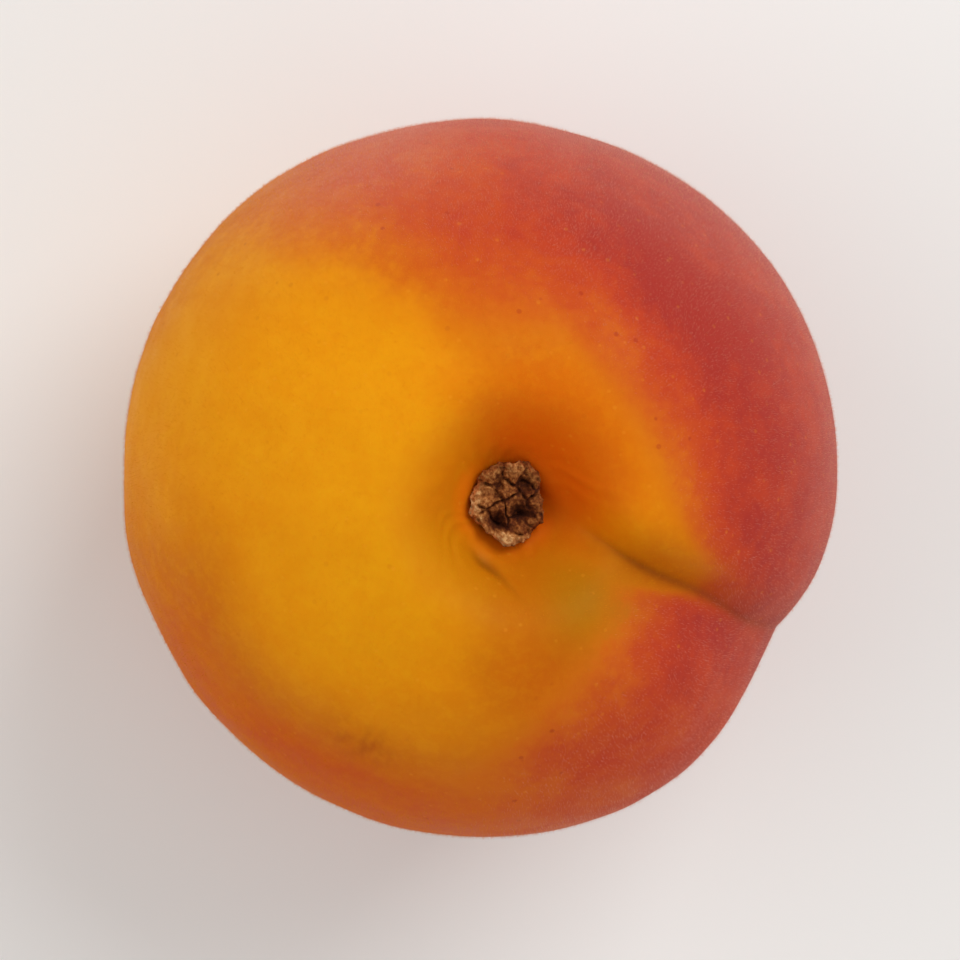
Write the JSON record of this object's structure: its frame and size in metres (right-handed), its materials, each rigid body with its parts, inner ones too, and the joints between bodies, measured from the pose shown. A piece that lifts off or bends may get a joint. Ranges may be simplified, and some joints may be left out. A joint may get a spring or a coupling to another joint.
{
  "type": "apricot",
  "caption": "Ripe apricot standing stem end up: a round fruit with a suture groove, a stem cavity holding the dry stub of its stem, and a small flat resting spot under its apex.",
  "frame": {"origin": "middle of the fruit's outline seen from above, on the surface that the fruit rests on", "axes": "+Z from the apex to the stem cavity, +X to the suture groove, +Y to the fuller cheek; the fruit is widest along Y"},
  "size_m": [0.047, 0.0478, 0.0465],
  "materials": {
    "skin": "matt apricot skin under fine pale down, yellow-orange with a rose-red blush on one cheek",
    "stub_wood": "dry, torn brown wood with paler flaky edges"
  },
  "bodies": {
    "root": {"fruit": "skin", "stem_stub": "stub_wood"}
  },
  "joints": []
}
